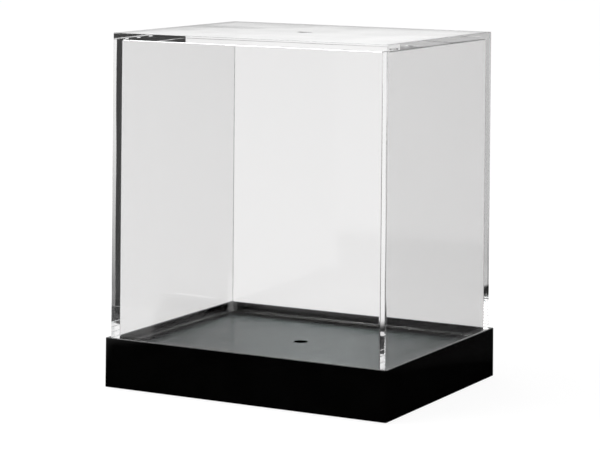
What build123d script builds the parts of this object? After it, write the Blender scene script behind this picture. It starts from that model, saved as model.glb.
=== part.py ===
from build123d import *
import os
from math import radians, tan

# Clear display case: a one-piece moulded cover that stands inside the rim of a black moulded tray.
# Millimetres, +Z up, front towards -Y, origin on the table under the middle of the case.
# Every wall leans a little, as moulded walls do, and each draft is in degrees from upright.

# Base tray, outside and rim
base_width = 150.5  # across the front, at the foot of the skirt
base_depth = 119.7  # front to back, at the foot of the skirt
base_height = 23.95  # foot of the skirt to the top of the rim
base_draft = 0.58  # the skirt leans in as it rises
base_corner_radius = 0.8
rim_wall = 1.7  # thickness of the rim where it leaves the floor
rim_height = 4.3  # top of the rim above the floor
rim_draft = 0.5  # the pocket inside the rim opens upwards
rim_edge_radius = 0.3
floor_hole_diameter = 7.0

# Base tray, hollow underside
skirt_wall = 2.0
floor_thickness = 2.4
rib_thickness = 1.4
rib_depth = 3.0  # how far the ribs and the boss hang below the floor
boss_wall = 3.4  # plastic round the floor hole
post_wall = 1.6  # plastic round the recess of a foot

# Rubber feet
foot_diameter = 9.6
foot_thickness = 2.0
foot_recess_depth = 1.2
foot_clearance = 0.2
foot_edge_chamfer = 0.5

# Clear cover
cover_height = 149.9
cover_wall = 3.43
cover_roof = 3.2
cover_draft = 0.48  # inside and outside lean in alike as they rise
core_shift = 0.07  # the moulding core stood this far to the right, so the left wall is the thicker one
cavity_radius = 0.6  # upright corners and ceiling edge, inside
cover_edge_radius = 0.15  # outside edges
cover_foot_radius = 0.3  # inner edge of the foot
cover_clearance = 0.3  # between the foot of the cover and the rim, on each side
gate_dimple_diameter = 7.6  # mark left in the roof where the plastic was injected
gate_dimple_depth = 0.3
gate_dimple_radius = 0.25


def lean(height, draft):
    """How far a wall leans over a height."""
    return height * tan(radians(draft))


# Levels above the table
skirt_foot_z = foot_thickness - foot_recess_depth
rim_top_z = skirt_foot_z + base_height
floor_z = rim_top_z - rim_height
floor_underside_z = floor_z - floor_thickness
rib_foot_z = floor_underside_z - rib_depth
cover_top_z = floor_z + cover_height

# The pocket inside the rim, at the floor, and the cover that stands in it
floor_rise = floor_z - skirt_foot_z
pocket_inset = lean(floor_rise, base_draft) + rim_wall
pocket_width = base_width - 2 * pocket_inset
pocket_depth = base_depth - 2 * pocket_inset
cover_width = pocket_width - 2 * cover_clearance
cover_depth = pocket_depth - 2 * cover_clearance

# The posts that carry the feet stand half in the skirt
underside_height = floor_underside_z - skirt_foot_z
recess_diameter = foot_diameter + 2 * foot_clearance
post_diameter = recess_diameter + 2 * post_wall
post_inset = lean(underside_height, base_draft) + skirt_wall / 2 + post_diameter / 2
post_spacing_x = base_width - 2 * post_inset
post_spacing_y = base_depth - 2 * post_inset
hollow_corner_radius = (post_diameter - skirt_wall) / 2  # lies inside the post


def drafted_block(width, depth, foot_z, height, draft, corner_radius):
    """Block with round upright corners, whose four sides lean in as it rises."""
    top_inset = lean(height, draft)
    with BuildPart() as block:
        with BuildSketch(Plane.XY.offset(foot_z)):
            RectangleRounded(width, depth, corner_radius)
        with BuildSketch(Plane.XY.offset(foot_z + height)):
            RectangleRounded(width - 2 * top_inset, depth - 2 * top_inset, corner_radius)
        loft(ruled=True)
    return block.part


# Base tray
tray_blank = drafted_block(
    base_width, base_depth, skirt_foot_z, base_height, base_draft, base_corner_radius
)
rim_pocket = drafted_block(
    pocket_width, pocket_depth, floor_z, rim_height, -rim_draft, cover_edge_radius + cover_clearance
)
underside_hollow = drafted_block(
    base_width - 2 * skirt_wall,
    base_depth - 2 * skirt_wall,
    skirt_foot_z,
    underside_height,
    base_draft,
    hollow_corner_radius,
)
with BuildPart() as base:
    add(tray_blank)
    add(rim_pocket, mode=Mode.SUBTRACT)
    add(underside_hollow, mode=Mode.SUBTRACT)
    fillet(base.faces().sort_by(Axis.Z)[-1].edges(), radius=rim_edge_radius)
    # Cross of ribs and the boss round the floor hole
    with BuildSketch(Plane.XY.offset(rib_foot_z)):
        Rectangle(base_width - 2 * skirt_wall, rib_thickness)
        Rectangle(rib_thickness, base_depth - 2 * skirt_wall)
        Circle(floor_hole_diameter / 2 + boss_wall)
    extrude(amount=rib_depth)
    # Posts with a shallow recess for each foot
    with BuildSketch(Plane.XY.offset(skirt_foot_z)):
        with GridLocations(post_spacing_x, post_spacing_y, 2, 2):
            Circle(post_diameter / 2)
    extrude(amount=underside_height)
    with BuildSketch(Plane.XY.offset(skirt_foot_z)):
        with GridLocations(post_spacing_x, post_spacing_y, 2, 2):
            Circle(recess_diameter / 2)
    extrude(amount=foot_recess_depth, mode=Mode.SUBTRACT)
    # Hole through the floor and its boss
    with BuildSketch(Plane.XY.offset(rib_foot_z)):
        Circle(floor_hole_diameter / 2)
    extrude(amount=rib_depth + floor_thickness, mode=Mode.SUBTRACT)

# Clear cover
cover_blank = drafted_block(
    cover_width, cover_depth, floor_z, cover_height, cover_draft, cover_edge_radius
)
cavity_blank = drafted_block(
    cover_width - 2 * cover_wall,
    cover_depth - 2 * cover_wall,
    floor_z,
    cover_height - cover_roof,
    cover_draft,
    cavity_radius,
)
with BuildPart() as cavity:
    with Locations((core_shift, 0)):
        add(cavity_blank)
    fillet(cavity.faces().sort_by(Axis.Z)[-1].edges(), radius=cavity_radius)
with BuildPart() as cover:
    add(cover_blank)
    fillet(cover.faces().sort_by(Axis.Z)[-1].edges(), radius=cover_edge_radius)
    add(cavity.part, mode=Mode.SUBTRACT)
    fillet(cover.faces().sort_by(Axis.Z)[0].inner_wires()[0].edges(), radius=cover_foot_radius)
    # Gate mark in the middle of the roof
    with BuildSketch(Plane.XY.offset(cover_top_z)):
        Circle(gate_dimple_diameter / 2)
    extrude(amount=-gate_dimple_depth, mode=Mode.SUBTRACT)
    dimple_floor = cover.faces().filter_by(Plane.XY).sort_by(Axis.Z)[-2]
    fillet(dimple_floor.edges(), radius=gate_dimple_radius)


os.makedirs("parts", exist_ok=True)
base.part.label = "base"
export_step(base.part, "parts/base.step")
cover.part.label = "cover"
export_step(cover.part, "parts/cover.step")

# Feet, one under each corner post
foot_corners = {
    "foot_front_left": (-1, -1),
    "foot_front_right": (1, -1),
    "foot_back_left": (-1, 1),
    "foot_back_right": (1, 1),
}
for foot_name, (side_x, side_y) in foot_corners.items():
    foot_x = side_x * post_spacing_x / 2
    foot_y = side_y * post_spacing_y / 2
    with BuildPart() as foot:
        with BuildSketch(Plane((foot_x, foot_y, 0))):
            Circle(foot_diameter / 2)
        extrude(amount=foot_thickness)
        chamfer(foot.edges().sort_by(Axis.Z)[0], length=foot_edge_chamfer)
    foot.part.label = foot_name
    export_step(foot.part, f"parts/{foot_name}.step")
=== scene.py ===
from math import cos, radians, sin
import bpy
from mathutils import Matrix, Vector


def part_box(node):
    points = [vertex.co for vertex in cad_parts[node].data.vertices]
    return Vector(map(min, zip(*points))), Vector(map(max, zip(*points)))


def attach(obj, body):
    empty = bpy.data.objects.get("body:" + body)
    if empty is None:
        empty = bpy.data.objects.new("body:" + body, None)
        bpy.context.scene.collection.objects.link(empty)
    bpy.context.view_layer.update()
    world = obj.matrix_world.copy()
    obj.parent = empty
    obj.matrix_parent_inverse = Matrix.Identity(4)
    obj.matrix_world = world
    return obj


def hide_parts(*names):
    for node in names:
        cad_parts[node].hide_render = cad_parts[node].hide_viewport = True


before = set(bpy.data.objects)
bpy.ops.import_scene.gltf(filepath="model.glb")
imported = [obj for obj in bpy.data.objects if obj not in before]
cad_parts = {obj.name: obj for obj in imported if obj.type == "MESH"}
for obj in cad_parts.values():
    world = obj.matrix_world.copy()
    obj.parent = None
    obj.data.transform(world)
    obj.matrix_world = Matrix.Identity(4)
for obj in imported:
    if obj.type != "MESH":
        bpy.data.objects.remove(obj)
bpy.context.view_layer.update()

# Clear display case on a black tray, in metres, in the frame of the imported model.
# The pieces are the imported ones, except that a copy of the cover stands a hair above the floor of the tray.
# This script gives them their finish, a stage and a camera.

# Camera, fitted to the corners of the case in the photograph
camera_azimuth = 28.399  # degrees round from the front, towards the right
camera_elevation = 8.379
camera_roll = 0.494
camera_distance = 1.1195
camera_target = Vector((-0.00184, 0.0, 0.07735))
camera_lens = 139.16  # millimetres, as is the sensor
camera_sensor = 36.0
camera_clip = (0.05, 50.0)

# How many times light is followed on, through the clear walls and off matt surfaces
all_bounces = 48
clear_bounces = 40
matt_bounces = 4

# Light and floor
ambient_level = 1.2  # what the room gives to a matt surface
lamp_power = 30.0
lamp_size = 1.3
lamp_place = Vector((-0.9, -0.7, 1.5))
floor_half_width = 8.0
floor_albedo = 0.9
floor_shadow_share = 0.12  # how much of the floor's look is its own lit surface, as seen straight
hidden_radii = (0.03, 0.05)  # inside the first of these, under the case, all of it is

# Studio that the plastic mirrors, with bearings in degrees from straight back, positive to the left
bearing_blend = 2.0  # a step is a bearing and the value beyond it, and is spread this far to both sides
right_level = 0.02  # near the horizon the right is dark, the back left white and the front left light grey
front_level = 0.72
low_steps = ((-1.0, 1.0), (110.0, front_level))
roof_sky = (3.4, 3.8)  # elevations over which the sky brightens, as the roof mirrors it
roof_sky_shares = (0.7, 1.0)
low_sky = 5.0  # up to this elevation the bearings differ as they do at the horizon
middle_sky = 8.0  # from this elevation all bearings are white, except the back left
back_left_bearings = (0.0, 110.0)
middle_level = 0.85  # level of the back left, from there
middle_top = 11.0  # and up to this elevation

# Glow high up behind the case, which the satin floor of the tray mirrors
glow_sky = 15.0  # from this elevation the back left is the glow and what is round it
glow_bearing = 27.2
glow_width = 3.3  # this far from its bearing the glow is down to about a third
glow_level = 2.5
glow_red_share = 0.87  # the light up there is a little cool
glow_surround = 0.17  # level of the back left beside the glow
glow_edge = (25.4, 26.8)  # bearings over which the right side of the glow sets in
glow_edge_share = 0.2  # share of the glow to the right of them

# Floor that the plastic mirrors, with a painted shadow round the case out to a radius, lightening beyond it
# over a fade length
painted_shadow_radius = 0.28
painted_shadow_radius_steps = (
    (-90.0, 0.13), (-10.0, 0.175), (30.0, 0.13), (110.0, 0.12), (129.0, 0.16), (138.0, 0.21), (146.0, 0.295)
)
painted_shadow_fade = 0.15
painted_shadow_fade_steps = ((-90.0, 0.01), (30.0, 0.55), (110.0, 0.01), (127.0, 0.02))
painted_shadow_straight_bearing = 146.0  # beyond it the painted shadow ends at a straight line, as far in front as the radius says

# Painted patch of light on that floor behind the case, which the foot of the front corner mirrors
patch_across = (0.008, 0.04)
patch_back = (0.10, 0.178)
patch_edge = 0.003
painted_patch_level = 0.8

# Places on the case
floor_top_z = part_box("cover")[0][2]  # the cover stands on the floor of the tray
floor_band = 0.0002  # faces this near to that height belong to the floor or to the foot of the cover
level_share = 0.9  # upright share of a normal from which a face counts as level
foot_gap = 0.00003  # air under the cover's foot, without which its walls lose their light into the tray

# Noise, whose scales are in waves per metre
noise_range = (0.3, 0.7)  # most values of a noise texture lie between these

# Clear plastic of the cover
clear_colour = (0.92, 0.917, 0.917, 1.0)
clear_index = 1.566
ripple_scale = 26.0
ripple_height = 0.00003
haze_scale = 60.0
haze_range = (0.4, 0.8)  # noise values over which the haze sets in
haze_roughness = 0.02
foot_roughness = 0.02  # what the frosted foot has on top of the haze

# Black plastic of the base
black_shades = (0.0004, 0.0007)
black_index = 1.35
satin_roughness = (0.23, 0.27)
gloss_roughness = (0.03, 0.05)
mottle_scale = 90.0
grain_scale = 3000.0
grain_height = 0.00005
grain_strength = 0.1

# Rubber of the feet
rubber_shades = (0.02, 0.035)
rubber_roughness = (0.65, 0.8)
speckle_scale = 1500.0
speckle_height = 0.0001
speckle_strength = 0.3


def tree_of(owner):
    """Empty node tree of a material or a world."""
    owner.use_nodes = True
    owner.node_tree.nodes.clear()
    return owner.node_tree


def node(tree, kind, inputs=None, **settings):
    """Adds a node, sets its options, and gives each named input a value or a link."""
    made = tree.nodes.new(kind)
    for key, value in settings.items():
        setattr(made, key, value)
    for key, value in (inputs or {}).items():
        if isinstance(value, bpy.types.NodeSocket):
            tree.links.new(value, made.inputs[key])
        else:
            made.inputs[key].default_value = value
    return made


def maths(tree, operation, *values):
    """Output of a Math node."""
    return node(tree, "ShaderNodeMath", dict(enumerate(values)), operation=operation).outputs[0]


def remap(tree, value, low, high, to_low=0.0, to_high=1.0, curve="LINEAR"):
    """Output of a Map Range node."""
    inputs = {"Value": value, "From Min": low, "From Max": high, "To Min": to_low, "To Max": to_high}
    return node(tree, "ShaderNodeMapRange", inputs, interpolation_type=curve).outputs[0]


def blend(tree, factor, first, second):
    """First value where the factor is 0, and second value where it is 1."""
    return node(tree, "ShaderNodeMix", {"Factor": factor, "A": first, "B": second}).outputs[0]


def mix_shaders(tree, factor, first, second):
    """First shader where the factor is 0, and second shader where it is 1."""
    return node(tree, "ShaderNodeMixShader", {0: factor, 1: first, 2: second}).outputs[0]


def parts_of(tree, vector):
    """Outputs X, Y and Z of a vector."""
    return node(tree, "ShaderNodeSeparateXYZ", {"Vector": vector}).outputs


def colour_of(tree, red, green, blue):
    """Colour made of three values."""
    return node(tree, "ShaderNodeCombineColor", {"Red": red, "Green": green, "Blue": blue}).outputs[0]


def length_of(tree, vector):
    """Length of a vector."""
    return node(tree, "ShaderNodeVectorMath", {0: vector}, operation="LENGTH").outputs["Value"]


def noise(tree, place, scale, detail=2.0):
    """Factor output of a 3D noise texture."""
    inputs = {"Vector": place, "Scale": scale, "Detail": detail}
    return node(tree, "ShaderNodeTexNoise", inputs).outputs["Fac"]


def bump(tree, height, strength, distance):
    """Normal output of a Bump node."""
    inputs = {"Height": height, "Strength": strength, "Distance": distance}
    return node(tree, "ShaderNodeBump", inputs).outputs["Normal"]


def finish_material(name, build):
    """New material whose node tree is filled in by build(tree), which returns a shader socket."""
    material = bpy.data.materials.new(name)
    tree = tree_of(material)
    node(tree, "ShaderNodeOutputMaterial", {"Surface": build(tree)})
    return material


def clear_plastic(tree):
    """Polished clear plastic with the slow ripple of a moulded wall and a frosted foot."""
    place = node(tree, "ShaderNodeTexCoord").outputs["Object"]
    at_foot = maths(tree, "COMPARE", parts_of(tree, place)["Z"], floor_top_z, floor_band)
    ripple = noise(tree, place, ripple_scale, detail=1.0)
    haze = remap(tree, noise(tree, place, haze_scale, detail=3.0), *haze_range, 0.0, haze_roughness)
    frosting = maths(tree, "MULTIPLY", at_foot, foot_roughness)
    inputs = {
        "Base Color": clear_colour,
        "Transmission Weight": 1.0,
        "IOR": clear_index,
        "Roughness": maths(tree, "ADD", haze, frosting),
        "Normal": bump(tree, ripple, 1.0, ripple_height),
    }
    return node(tree, "ShaderNodeBsdfPrincipled", inputs).outputs["BSDF"]


def black_tray(tree):
    """Black plastic, glossy outside, with a satin floor."""
    coordinates = node(tree, "ShaderNodeTexCoord").outputs
    place = coordinates["Object"]
    at_floor = maths(tree, "COMPARE", parts_of(tree, place)["Z"], floor_top_z, floor_band)
    is_level = maths(tree, "GREATER_THAN", parts_of(tree, coordinates["Normal"])["Z"], level_share)
    on_floor = maths(tree, "MULTIPLY", at_floor, is_level)
    mottle = noise(tree, place, mottle_scale, detail=3.0)
    satin = remap(tree, mottle, *noise_range, *satin_roughness)
    gloss = remap(tree, mottle, *noise_range, *gloss_roughness)
    shade = remap(tree, mottle, *noise_range, *black_shades)
    grain = noise(tree, place, grain_scale)
    inputs = {
        "Base Color": colour_of(tree, shade, shade, shade),
        "Roughness": blend(tree, on_floor, gloss, satin),
        "IOR": black_index,
        "Normal": bump(tree, grain, grain_strength, grain_height),
    }
    return node(tree, "ShaderNodeBsdfPrincipled", inputs).outputs["BSDF"]


def rubber(tree):
    """Dull dark rubber."""
    place = node(tree, "ShaderNodeTexCoord").outputs["Object"]
    speckle = noise(tree, place, speckle_scale, detail=3.0)
    shade = remap(tree, speckle, *noise_range, *rubber_shades)
    inputs = {
        "Base Color": colour_of(tree, shade, shade, shade),
        "Roughness": remap(tree, speckle, *noise_range, *rubber_roughness),
        "Normal": bump(tree, speckle, speckle_strength, speckle_height),
    }
    return node(tree, "ShaderNodeBsdfPrincipled", inputs).outputs["BSDF"]


def bearing_of(tree, direction):
    """Bearing of a direction in radians, from straight back, positive to the left."""
    parts = parts_of(tree, direction)
    return maths(tree, "ARCTAN2", maths(tree, "MULTIPLY", parts["X"], -1.0), parts["Y"])


def change(tree, angle, low, high, before, beyond):
    """Value that changes smoothly between two angles in degrees, for an angle in radians."""
    return remap(tree, angle, radians(low), radians(high), before, beyond, "SMOOTHSTEP")


def by_bearing(tree, bearing, value, *steps):
    """Value that changes smoothly at each step, a pair of a bearing in degrees and the value beyond it."""
    for place, beyond in steps:
        value = change(tree, bearing, place - bearing_blend, place + bearing_blend, value, beyond)
    return value


def at_back_left(tree, bearing, value):
    """A value at the back left, and 1 at the other bearings."""
    right, left = back_left_bearings
    return by_bearing(tree, bearing, 1.0, (right, value), (left, 1.0))


def low_studio(tree, bearing):
    """Level of the studio near the horizon."""
    return by_bearing(tree, bearing, right_level, *low_steps)


def high_studio(tree, bearing, elevation):
    """Level of the studio above the horizon."""
    offset = maths(tree, "SUBTRACT", bearing, radians(glow_bearing))
    share = maths(tree, "DIVIDE", offset, radians(glow_width))
    bell = maths(tree, "EXPONENT", maths(tree, "MULTIPLY", maths(tree, "MULTIPLY", share, share), -1.0))
    edge = change(tree, bearing, *glow_edge, glow_edge_share, 1.0)
    glow = remap(tree, maths(tree, "MULTIPLY", bell, edge), 0.0, 1.0, glow_surround, glow_level)
    return at_back_left(tree, bearing, change(tree, elevation, middle_top, glow_sky, middle_level, glow))


def glow_red(tree, bearing, elevation):
    """Red share of the studio's light, which is less than 1 in the glow."""
    return at_back_left(tree, bearing, change(tree, elevation, middle_top, glow_sky, 1.0, glow_red_share))


def outside_painted_shadow(tree, place, bearing):
    """How much of the studio's level a place on the floor has outside the painted shadow round the case:
    nothing at the case, all of it far off.
    """
    near = by_bearing(tree, bearing, painted_shadow_radius, *painted_shadow_radius_steps)
    fade = by_bearing(tree, bearing, painted_shadow_fade, *painted_shadow_fade_steps)
    forward = maths(tree, "MULTIPLY", parts_of(tree, place)["Y"], -1.0)
    distance = by_bearing(tree, bearing, length_of(tree, place), (painted_shadow_straight_bearing, forward))
    fades = maths(tree, "DIVIDE", maths(tree, "SUBTRACT", near, distance), fade)
    return maths(tree, "MAXIMUM", maths(tree, "SUBTRACT", 1.0, maths(tree, "EXPONENT", fades)), 0.0)


def within(tree, value, low, high):
    """1 between two values and 0 outside them, with soft edges."""
    rise = remap(tree, value, low, low + patch_edge)
    fall = remap(tree, value, high - patch_edge, high, 1.0, 0.0)
    return maths(tree, "MINIMUM", rise, fall)


def painted_light_patch(tree, place):
    """Level of the painted patch of light at a place on the floor."""
    parts = parts_of(tree, place)
    across = within(tree, parts["X"], *patch_across)
    back = within(tree, parts["Y"], *patch_back)
    return maths(tree, "MULTIPLY", maths(tree, "MINIMUM", across, back), painted_patch_level)


def seen_straight(tree):
    """1 for what the camera sees directly or through clear plastic, and 0 after any reflection."""
    light_path = node(tree, "ShaderNodeLightPath").outputs
    turns = maths(tree, "ADD", light_path["Glossy Depth"], light_path["Diffuse Depth"])
    return maths(tree, "LESS_THAN", turns, 1.0)


def seen_matt(tree):
    """1 for what lights a matt surface, and 0 for the rest."""
    return node(tree, "ShaderNodeLightPath").outputs["Is Diffuse Ray"]


def floor_look(tree):
    """White floor with a faint shadow as seen straight; in reflections it glows at the studio's levels, with
    a painted shadow round the case and a painted patch of light behind it.
    """
    place = node(tree, "ShaderNodeNewGeometry").outputs["Position"]
    matt = node(tree, "ShaderNodeBsdfDiffuse", {"Color": (floor_albedo,) * 3 + (1.0,)}).outputs[0]
    white = node(tree, "ShaderNodeEmission", {"Strength": 1.0}).outputs[0]
    share = remap(tree, length_of(tree, place), *hidden_radii, 1.0, floor_shadow_share, "SMOOTHSTEP")
    direct = mix_shaders(tree, share, white, matt)
    bearing = bearing_of(tree, place)
    # painted shadow round the case, which the floor shows only in reflections
    level = maths(tree, "MULTIPLY", low_studio(tree, bearing), outside_painted_shadow(tree, place, bearing))
    # painted patch of light behind the case, seen only in reflections
    level = maths(tree, "MAXIMUM", level, painted_light_patch(tree, place))
    mirrored = node(tree, "ShaderNodeEmission", {"Strength": level}).outputs[0]
    bounced = mix_shaders(tree, seen_matt(tree), mirrored, matt)
    return mix_shaders(tree, seen_straight(tree), bounced, direct)


def fill_world():
    """White all round as seen straight, even light for matt surfaces, and a studio for reflections."""
    world = bpy.data.worlds.new("studio")
    bpy.context.scene.world = world
    tree = tree_of(world)
    direction = node(tree, "ShaderNodeTexCoord").outputs["Generated"]
    bearing = bearing_of(tree, direction)
    elevation = maths(tree, "ARCSINE", parts_of(tree, direction)["Z"])
    share = remap(tree, elevation, *map(radians, roof_sky), *roof_sky_shares)
    low_level = maths(tree, "MULTIPLY", low_studio(tree, bearing), share)
    is_high = change(tree, elevation, low_sky, middle_sky, 0.0, 1.0)
    studio = blend(tree, is_high, low_level, high_studio(tree, bearing, elevation))
    is_matt = seen_matt(tree)
    is_straight = seen_straight(tree)
    level = blend(tree, is_straight, blend(tree, is_matt, studio, ambient_level), 1.0)
    is_plain = maths(tree, "MAXIMUM", is_matt, is_straight)
    red = blend(tree, is_plain, glow_red(tree, bearing, elevation), 1.0)
    light = {"Color": colour_of(tree, red, 1.0, 1.0), "Strength": level}
    background = node(tree, "ShaderNodeBackground", light)
    node(tree, "ShaderNodeOutputWorld", {"Surface": background.outputs[0]})


def lift_foot(piece, body):
    """Replaces a piece with a copy whose foot is a hair above the floor that it stands on."""
    copy = piece.copy()
    copy.data = piece.data.copy()
    copy.name = piece.name + "_on_air"
    bpy.context.scene.collection.objects.link(copy)
    for vertex in copy.data.vertices:
        vertex.co.z = max(vertex.co.z, floor_top_z + foot_gap)
    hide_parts(piece.name)
    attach(copy, body)


def add_object(name, data):
    """New object in the scene."""
    made = bpy.data.objects.new(name, data)
    bpy.context.scene.collection.objects.link(made)
    return made


def make_floor():
    """Flat white floor under the case."""
    half = floor_half_width
    corners = [(-half, -half, 0.0), (half, -half, 0.0), (half, half, 0.0), (-half, half, 0.0)]
    mesh = bpy.data.meshes.new("stage_floor")
    mesh.from_pydata(corners, [], [(0, 1, 2, 3)])
    mesh.materials.append(finish_material("stage_white", floor_look))
    floor = add_object("stage_floor", mesh)


def aim(thing, place, back, roll=0.0):
    """Puts a lamp or a camera at a place, looking along -back, turned about its own axis."""
    right = Vector((0.0, 0.0, 1.0)).cross(back).normalized()
    up = back.cross(right)
    turn = Matrix((right, up, back)).transposed() @ Matrix.Rotation(roll, 3, "Z")
    thing.matrix_world = Matrix.Translation(place) @ turn.to_4x4()


def make_lamp():
    """One large soft lamp, above and to the front left."""
    data = bpy.data.lights.new("soft_lamp", "AREA")
    data.energy = lamp_power
    data.size = lamp_size
    aim(add_object("soft_lamp", data), lamp_place, lamp_place.normalized())


def make_camera():
    """Camera at the photograph's viewing angle."""
    azimuth, elevation = radians(camera_azimuth), radians(camera_elevation)
    back = Vector((sin(azimuth) * cos(elevation), -cos(azimuth) * cos(elevation), sin(elevation)))
    data = bpy.data.cameras.new("camera")
    data.lens = camera_lens
    data.sensor_width = camera_sensor
    data.sensor_fit = "HORIZONTAL"
    data.clip_start, data.clip_end = camera_clip
    camera = add_object("camera", data)
    aim(camera, camera_target + back * camera_distance, back, radians(camera_roll))
    bpy.context.scene.camera = camera


scene = bpy.context.scene
scene.view_settings.view_transform = "Standard"
scene.cycles.max_bounces = all_bounces
scene.cycles.glossy_bounces = clear_bounces
scene.cycles.transmission_bounces = clear_bounces
scene.cycles.diffuse_bounces = matt_bounces

finishes = {
    "cover": finish_material("clear_plastic", clear_plastic),
    "base": finish_material("black_plastic", black_tray),
}
foot_finish = finish_material("foot_rubber", rubber)
for name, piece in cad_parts.items():
    for slot in piece.material_slots:
        slot.material = finishes.get(name, foot_finish)

lift_foot(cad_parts["cover"], "cover")
make_floor()
fill_world()
make_lamp()
make_camera()
